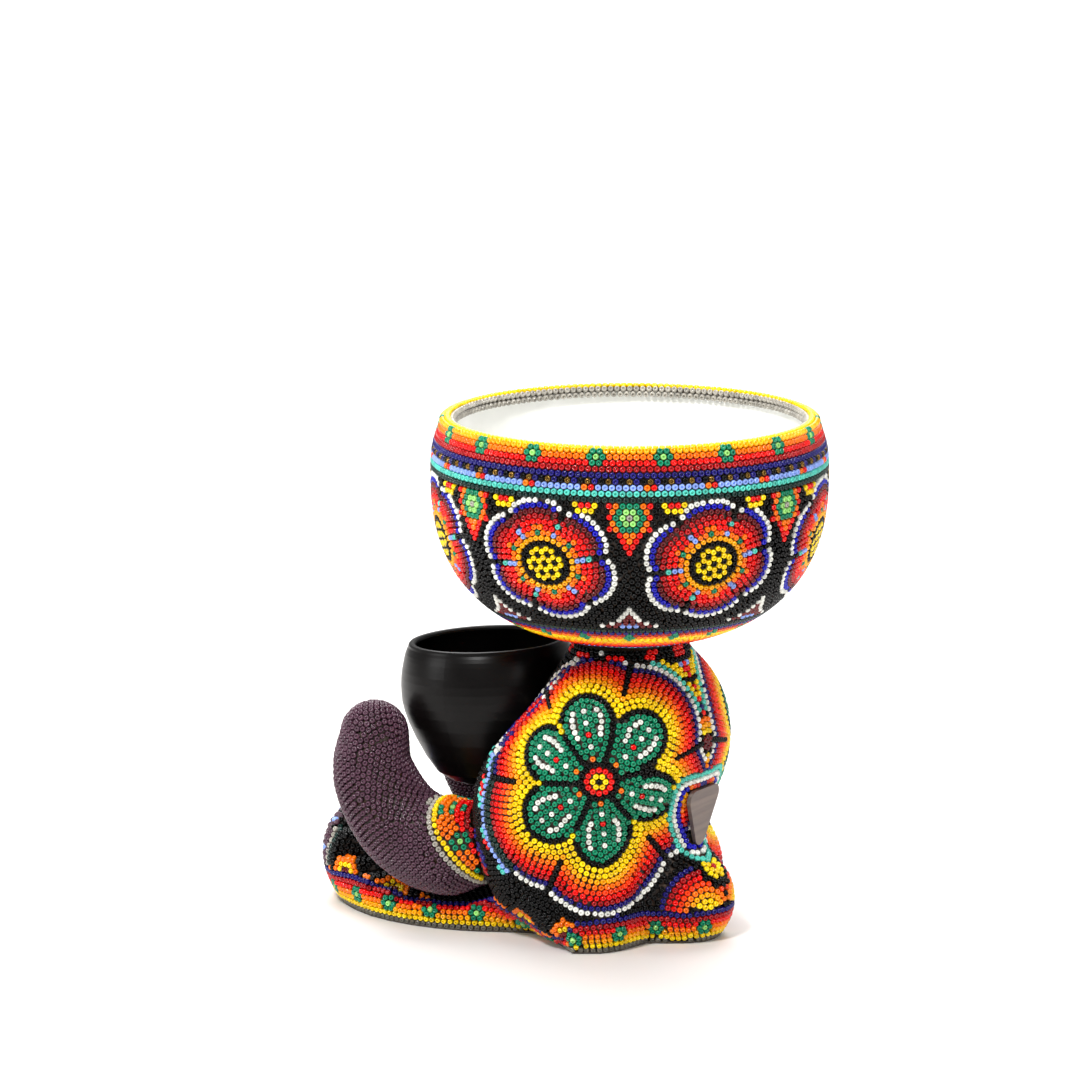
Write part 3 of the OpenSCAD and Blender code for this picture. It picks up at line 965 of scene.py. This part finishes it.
# the large flower on each side
PETALS = [103, 157, 217, 274, 335, 404]
REACH, HEAD = 19.8, 9.3
FLOWER = ["yellow", "yellow", "amber", "orange", "flame", "red", "crimson", "navy", "white"]
# the cuff's last band, which runs on beside the flower
EDGE = ["turquoise", "turquoise", "red", "turquoise", "black", "turquoise", "red", "black", "turquoise"]
RIB = (         # beads along the middle of a petal
    (8.1, "orange"), (10.05, "green"), (12.0, "white"), (13.95, "green"), (15.9, "red"), (17.85, "green"),
    (19.8, "white"), (21.75, "green"), (23.7, "white"), (25.6, "green"),
)
FLOWER_ROW = 1.84
flank = Dome(body_skin, (44, 14, 57), 46)


def petal_radius(a, out):
    """Distance from the centre to the line that runs round the petals at a distance."""
    best = 0.0
    for p in PETALS:
        d = turn_gap(a, p)
        s = REACH * math.sin(math.radians(d))
        if d < 80 and abs(s) < HEAD + out:
            best = max(best, REACH * math.cos(math.radians(d)) + math.sqrt((HEAD + out) ** 2 - s * s))
    return best


def ring_colour(k, a):
    """Colour in ring k round the petals, at angle a. Beside the arm the cuff's outer bands take over."""
    a %= 360
    if 178 < a < 228 and (k > 8 or k == 8 and a > 187):
        return {10: "sky", 11: EDGE[int((a - 178) / 5.6)]}.get(k, "bottle")
    return FLOWER[k - 1] if k < 10 else "black"


def petal_point(k, along, across):
    """Drawing coordinates of a place on petal k."""
    c, s = turned(1, PETALS[k])
    return along * c - across * s, along * s + across * c


def notch(k):
    """Angle between petal k and the next."""
    after = PETALS[(k + 1) % 6] + (360 if k == 5 else 0)
    return (PETALS[k] + after) / 2


body.lay(flank.c, "black")
body.row(flank.curve(around(2.1)), "yellow", closed=True, close=0.7)
body.row(flank.curve(around(4.15)), "red", closed=True, close=0.8)
body.row(flank.curve(around(6.15)), "black", closed=True, close=0.8)
for k in range(6):
    gap = notch(k)
    for i in range(6):
        body.lay(flank.lift(*turned(8.1 + 2.0 * i, gap)), "black")
    body.lay(flank.lift(*turned(21.0, gap)), "yellow")
    c = turned(REACH, PETALS[k])
    head = []
    for i in range(-40, 41):
        q = turned(HEAD, PETALS[k] + i * 3)
        x, y = c[0] + q[0], c[1] + q[1]
        near = min(turn_gap(math.degrees(math.atan2(y, x)), notch(j)) for j in (k, (k + 5) % 6))
        inside = turn_gap(math.degrees(math.atan2(y, x)), PETALS[k]) < turn_gap(gap, PETALS[k]) + 1
        if inside and math.hypot(x, y) > 17.5:
            head.append((x, y))
    body.row(flank.curve(head), "black")
    for along, name in RIB:
        body.lay(flank.lift(*petal_point(k, along, 0)), name)
    for s in (1, -1):
        for i in range(5):
            across = s * (4.0 + 0.9 * math.sin(math.pi * i / 5))
            body.lay(flank.lift(*petal_point(k, 15.3 + 2.05 * i, across)), "white")
for k in range(1, 10):
    out = k * FLOWER_ROW
    for j in range(6):
        start, end = notch(j), notch((j + 1) % 6) + (360 if j == 5 else 0)
        while end < start:
            end += 360
        arc = flank.curve(around(lambda a: petal_radius(a, out), start, end))

        def colour(t, k=k, start=start, end=end):
            return "black" if k > 3 and t < 0.01 else ring_colour(k, start + t * (end - start))

        body.row(arc, colour, last_one=False)
for k in (10, 11):
    arc = flank.curve(around(lambda a: petal_radius(a, k * FLOWER_ROW), 178.5, 227.5))
    body.row(arc, lambda t, k=k: ring_colour(k, 178.5 + 49 * t))

# crescent beside each flower's upper back lobe
for out, name in ((18.5, "turquoise"), (20.4, "yellow"), (22.2, "yellow"), (24.0, "turquoise")):
    pull = 4 * (out - 18.5)
    body.row(flank.curve(around(lambda a: petal_radius(a, out), 26 + pull, 66 - pull)), name)


def small_flower(centre, rings, start, end, round=40, up=(0, 0, 1)):
    """Arcs of beads round a point of the body. rings holds (radius, colour)."""
    chart = Dome(body_skin, centre, round, up)
    if abs(chart.c.x) < 0.3:
        chart.c.x = 0
    body.lay(chart.c, rings[0][1])
    for r, name in rings[1:]:
        body.row(chart.curve(around(r, start, end)), name, close=0.8)


# flowers down the spine
small_flower(
    body_cast(66, 90)[0],
    [(0, "maroon"), (2.1, "maroon"), (4.1, "yellow"), (6.0, "amber"), (7.9, "orange"), (9.8, "red"),
     (11.6, "navy")],
    90, 270, 30,
)
small_flower(
    body_cast(24, 90)[0],
    [(0, "crimson"), (2.1, "yellow"), (4.1, "yellow"), (6.0, "black")],
    90, 270, 30,
)
# a wedge that widens upwards from the upper flower
for k in range(9):
    z = 80 + ROW * k
    for i, name in enumerate(["red", "sky" if k % 3 == 0 else "flame", "orange", "red", "navy", "white"]):
        x = (i + 0.5 * (k % 2)) * PITCH
        beyond = x - (1.2 + 1.15 * k)
        if beyond < 2 and z < neck_top - 4:
            spot = body_skin.cast(Vector((x, 0, z)), Vector((0, 1, 0)))
            if spot:
                body.put(spot[0], spot[1], "navy" if beyond > 0 else name)

# half flowers standing on the trim: place and size. The large one on the tail is laid in rings.
HALF_FLOWERS = [
    (trim_top(y), reach)
    for y, reach in (
        (-103, 3.2), (-94, 7.0), (-84, 3.2), (-72, 7.0), (-60, 3.2),
        (-30, 3.2), (-19, 7.0), (-8, 3.2), (3, 7.0), (14, 3.2),
    )
]
small_flower(
    trim_top(35),
    [(0, "yellow"), (2.1, "yellow"), (4.1, "yellow"), (6.0, "amber"), (7.9, "orange"), (9.8, "flame"),
     (11.7, "red"), (13.6, "crimson"), (15.5, "navy")],
    8, 172,
)

# flowers on the chest and on the lap
SUN = [
    (0, "yellow"), (2.1, "orange"), (4.1, "flame"), (6.1, "red"), (8.0, "crimson"), (9.9, "navy"),
    (11.8, "white"),
]
small_flower(body_cast(72, -90)[0], SUN, -90, 90, 30)
lap = body_skin.cast(Vector((0.001, -78, 70)), Vector((0, 0, -1)))
small_flower(lap[0], SUN[:6], -90, 90, 60, up=(0, 1, 0))

# the large flower on the front of the legs
front = Dome(body_skin, body_cast(19, -90)[0], 26)
front.c.x = 0
body.lay(front.c, "yellow")
for k in range(14):
    r = 2.1 + 1.92 * k
    name = ("orange", "red", "crimson")[k] if k < 3 else {12: "pearl", 13: "bottle"}.get(k, "plum")

    def colour(t, k=k, r=r, name=name):
        off = abs((180 * t / 30 + 0.5) % 1 - 0.5) * 30
        return "sky" if k in (5, 6, 8, 9, 10) and math.radians(off) * r < 1.1 else name

    body.row(front.curve(around(r, -90, 90)), colour, close=0.8)

# ---------- the arms ----------
CUFF = ["pearl", "yellow", "orange", "orange", "red", "crimson", "navy", "black", "black"]
CUFF_AT = Vector((30, -48.2, 31.9))         # on the border between the cuff and the plain arm
CUFF_WAY = Vector((0, 0.84, 0.54)).normalized()     # towards the body


def cuff_row(p):
    """Number of the cuff's row a point lies in, below 0 on the plain arm."""
    return (p - CUFF_AT).dot(CUFF_WAY) / ROW if p.z < 52 else -9


def arm_free(p):
    """Whether a bead on the arm is clear of the body's own beads."""
    return body_skin.height(p) > 1.55


arm = Beads(arm_skin, arm_free)
side_way = Vector((1, 0, 0))
up_way = CUFF_WAY.cross(side_way)
for j, name in enumerate(CUFF):
    middle = CUFF_AT + CUFF_WAY * ROW * j + Vector((0, -1.5, -4))
    middle -= CUFF_WAY * (cuff_row(middle) - j) * ROW
    hits = [
        arm_skin.cast(middle, side_way * math.cos(a) + up_way * math.sin(a))
        for a in np.linspace(0, 2 * math.pi, 90, endpoint=False)
    ]
    path = [hit[0] for hit in hits if hit]
    if len(path) < 20:
        break
    count = 6 * round(way(path + path[:1]) / 2.1 / 6)
    shift = 0.5 * (j % 2)

    def colour(t, j=j, name=name, count=count, shift=shift):
        i = round(t * count - shift)
        off = abs((i + shift - 0.5 + 3) % 6 - 3)
        if j == 3 and off < 1.3:
            return "lime" if off < 0.3 else "green"
        if j in (2, 4) and off < 0.8:
            return "green"
        if j == 7:
            return ("gold", "black", "black", "turquoise", "black", "red")[i % 6]
        return name

    arm.row(path, colour, closed=True, pitch=way(path + path[:1]) / count, phase=shift, close=0.74)
# plain rows run along the arm from its outer side
spine = [
    Vector(p)
    for p in (
        (31, -56, 28), (32, -63, 30.5), (32, -70.5, 36), (32, -76.5, 43.5), (32, -79.5, 50),
        (31, -80.4, 56), (30, -80.5, 62),
    )
]
path = []
for a, b in zip(spine, spine[1:]):
    for i in range(6):
        hit = arm_skin.cast(a.lerp(b, i / 6), Vector((1, 0, 0)))
        if hit and cuff_row(hit[0]) < -1:
            path.append(hit[0])
first = len(arm.at)
arm.row(path, "plum")
arm.beside(arm.at[first:], 40, "plum")
arm.cover()
for i, p in enumerate(arm.at):
    if arm.colour[i] is None:
        j = math.floor(cuff_row(p) + 0.35)
        arm.colour[i] = "plum" if j < 0 else CUFF[min(j, len(CUFF) - 1)]
print("arm beads", len(arm.at))

body.cover()


def body_colour(p):
    """Colour of a filling bead, from the pattern it lies in."""
    if p.z < 18:
        _, found, gap = trim_map.find(p)
        if gap < 1.4:
            return TRIM[found // 1000]
    for place, reach in HALF_FLOWERS:
        gap = (p - place).length
        if gap < reach and reach < 4:
            return "orange"
        if gap < reach:
            return "yellow" if gap < 1.2 or 3.1 < gap < 4.9 else ("maroon" if gap < 3.1 else "orange")
    spot = flank.flat(p)
    if spot:
        r, a = math.hypot(*spot), math.degrees(math.atan2(spot[1], spot[0]))
        edge = petal_radius(a, 0)
        if r < max(edge, 17) - 0.5:
            return "green" if min(turn_gap(a, k) for k in PETALS) < 27 else "black"
        for k in range(1, 12):
            if r < petal_radius(a, k * FLOWER_ROW + 0.9):
                split = k > 3 and min(turn_gap(a, notch(j)) for j in range(6)) < 2
                return "black" if split else ring_colour(k, a)
    if p.y < -25 and p.z > 14 and depth_in(arm_tree, p) < 9:
        j = round(cuff_row(p))
        if 4 < j < len(CUFF):
            return CUFF[j]
    return "black"


for i, p in enumerate(body.at):
    if body.colour[i] is None:
        body.colour[i] = body_colour(p)
print("body beads", len(body.at))

left_arm = Beads(arm_skin, arm_free)
left_arm.cells, left_arm.colour = {}, arm.colour
left_arm.at = [Vector((-p.x, p.y, p.z)) for p in arm.at]
left_arm.normal = [Vector((-n.x, n.y, n.z)) for n in arm.normal]
for i, p in enumerate(left_arm.at):
    left_arm.cells.setdefault(left_arm._cell(p), []).append(i)
for beads, side in ((arm, "right"), (left_arm, "left")):
    settle(beads, [(f"{side}_cuff_beads", "trim_beads"), (f"{side}_arm_beads", "plum_beads")], "figure")
settle(
    body,
    [
        ("trim_beads", "trim_beads"), ("left_flank_beads", "flank_beads"),
        ("right_flank_beads", "flank_beads"), ("back_beads", "back_beads"), ("tail_beads", "back_beads"),
        ("plate_border_beads", "back_beads"), ("chest_beads", "dark_beads"), ("lap_beads", "dark_beads"),
        ("neck_beads", "dark_beads"),
    ],
    "figure",
)

# ---------- materials, floor, light and camera ----------


def material(name):
    m = bpy.data.materials.new(name)
    m.use_nodes = True
    return m, m.node_tree, m.node_tree.nodes["Principled BSDF"]


def speckled(name, low, high, scale, rough, bump=0.1, coat=0.0, metallic=0.0, stretch=(1, 1, 1)):
    """A material whose colour wanders between two tones, with a fine uneven surface."""
    m, tree, bsdf = material(name)
    place = tree.nodes.new("ShaderNodeTexCoord")
    mapping = tree.nodes.new("ShaderNodeMapping")
    mapping.inputs["Scale"].default_value = stretch
    noise = tree.nodes.new("ShaderNodeTexNoise")
    noise.inputs["Scale"].default_value = scale
    noise.inputs["Detail"].default_value = 4
    ramp = tree.nodes.new("ShaderNodeValToRGB")
    ramp.color_ramp.elements[0].position, ramp.color_ramp.elements[1].position = 0.35, 0.65
    ramp.color_ramp.elements[0].color = (*to_linear(low), 1)
    ramp.color_ramp.elements[1].color = (*to_linear(high), 1)
    uneven = tree.nodes.new("ShaderNodeBump")
    uneven.inputs["Strength"].default_value = bump
    uneven.inputs["Distance"].default_value = 0.0003
    tree.links.new(place.outputs["Object"], mapping.inputs["Vector"])
    tree.links.new(mapping.outputs["Vector"], noise.inputs["Vector"])
    tree.links.new(noise.outputs["Fac"], ramp.inputs["Fac"])
    tree.links.new(ramp.outputs["Color"], bsdf.inputs["Base Color"])
    tree.links.new(noise.outputs["Fac"], uneven.inputs["Height"])
    tree.links.new(uneven.outputs["Normal"], bsdf.inputs["Normal"])
    bsdf.inputs["Roughness"].default_value = rough
    bsdf.inputs["Coat Weight"].default_value = coat
    bsdf.inputs["Metallic"].default_value = metallic
    m.diffuse_color = (*high, 1)
    return m


def dim(m, index):
    """A weaker reflection, for surfaces that are polished but not glazed."""
    m.node_tree.nodes["Principled BSDF"].inputs["IOR"].default_value = index
    return m


wax = speckled("campeche_wax", (0.17, 0.11, 0.07), (0.27, 0.19, 0.12), 260, 0.5, 0.5)
wood = speckled("turned_wood", (0.52, 0.38, 0.24), (0.66, 0.50, 0.34), 60, 0.6, 0.3, stretch=(1, 1, 0.15))
dressing = {
    "base_felt": speckled("grey_felt", (0.26, 0.24, 0.22), (0.38, 0.35, 0.32), 900, 0.95, 0.9),
    "ceramic_bowl": speckled(
        "white_glaze", (0.88, 0.88, 0.86), (0.93, 0.93, 0.92), 45, 0.22, 0.05, coat=0.5
    ),
    "black_cup": dim(
        speckled("black_clay", (0.024, 0.018, 0.017), (0.044, 0.036, 0.034), 70, 0.33, 0.05), 1.24
    ),
    "name_plate": speckled(
        "plate_metal", (0.36, 0.31, 0.29), (0.44, 0.38, 0.35), 500, 0.42, 0.15, metallic=0.35,
        stretch=(0.08, 1, 1),
    ),
    "bowl_peg": wood,
}
for name in nodes:
    if name.endswith("_core"):
        dressing[name] = wood
    if name.endswith("_wax") or name == "bowl_seat":
        dressing[name] = wax
for name, look_of in dressing.items():
    nodes[name].data.materials.clear()
    nodes[name].data.materials.append(look_of)


def add_floor():
    me = bpy.data.meshes.new("floor")
    me.from_pydata([(-9, -9, 0), (9, -9, 0), (9, 9, 0), (-9, 9, 0)], [], [(0, 1, 2, 3)])
    ob = bpy.data.objects.new("floor", me)
    bpy.context.scene.collection.objects.link(ob)
    m, _, bsdf = material("pale_floor")
    bsdf.inputs["Base Color"].default_value = (0.78, 0.76, 0.74, 1)
    bsdf.inputs["Roughness"].default_value = 0.55
    me.materials.append(m)
    ob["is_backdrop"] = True


def add_light(name, place, size, power, colour=(1, 1, 1), aim=(0, 0, 0.09)):
    data = bpy.data.lights.new(name, "AREA")
    data.shape, data.size, data.energy, data.color = "DISK", size, power, colour
    ob = bpy.data.objects.new(name, data)
    ob.location = place
    ob.rotation_mode = "QUATERNION"
    ob.rotation_quaternion = (Vector(aim) - Vector(place)).to_track_quat("-Z", "Y")
    bpy.context.scene.collection.objects.link(ob)


add_floor()
world = bpy.data.worlds.new("studio")
bpy.context.scene.world = world
world.use_nodes = True
back = world.node_tree.nodes["Background"]
back.inputs["Color"].default_value = (1.0, 1.0, 1.0, 1)
back.inputs["Strength"].default_value = 0.34
add_light("key", (0.75, 0.05, 0.95), 0.22, 10.0)
add_light("fill", (0.3, 1.5, 0.6), 0.7, 7.0)
add_light("side", (0.9, -1.0, 0.5), 0.6, 5.0)
add_light("top", (0.0, 0.0, 1.4), 0.8, 6.0)
add_light("back", (-1.6, -1.0, 2.2), 3.0, 130.0, aim=(-1.3, -0.8, 0))

camera = bpy.data.cameras.new("camera")
camera.lens, camera.sensor_width = 237.4, 36.0
camera.clip_start, camera.clip_end = 0.05, 30
camera_object = bpy.data.objects.new("camera", camera)
AZIMUTH, YAW, DROP = math.radians(30.0), math.radians(0.733), math.radians(10.98)
away = Vector((math.cos(AZIMUTH), math.sin(AZIMUTH), 0))
across = Vector((-math.sin(AZIMUTH), math.cos(AZIMUTH), 0))
level = -away * math.cos(YAW) - across * math.sin(YAW)
look = level * math.cos(DROP) - Vector((0, 0, math.sin(DROP)))
camera_object.location = (2.3 * away.x, 2.3 * away.y, 0.577)
camera_object.rotation_mode = "QUATERNION"
camera_object.rotation_quaternion = look.to_track_quat("-Z", "Y")
bpy.context.scene.collection.objects.link(camera_object)
bpy.context.scene.camera = camera_object
bpy.context.scene.view_settings.view_transform = "Standard"

low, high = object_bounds()
{"cad": [list(cad_low), list(cad_high)], "visual": [list(low), list(high)]}
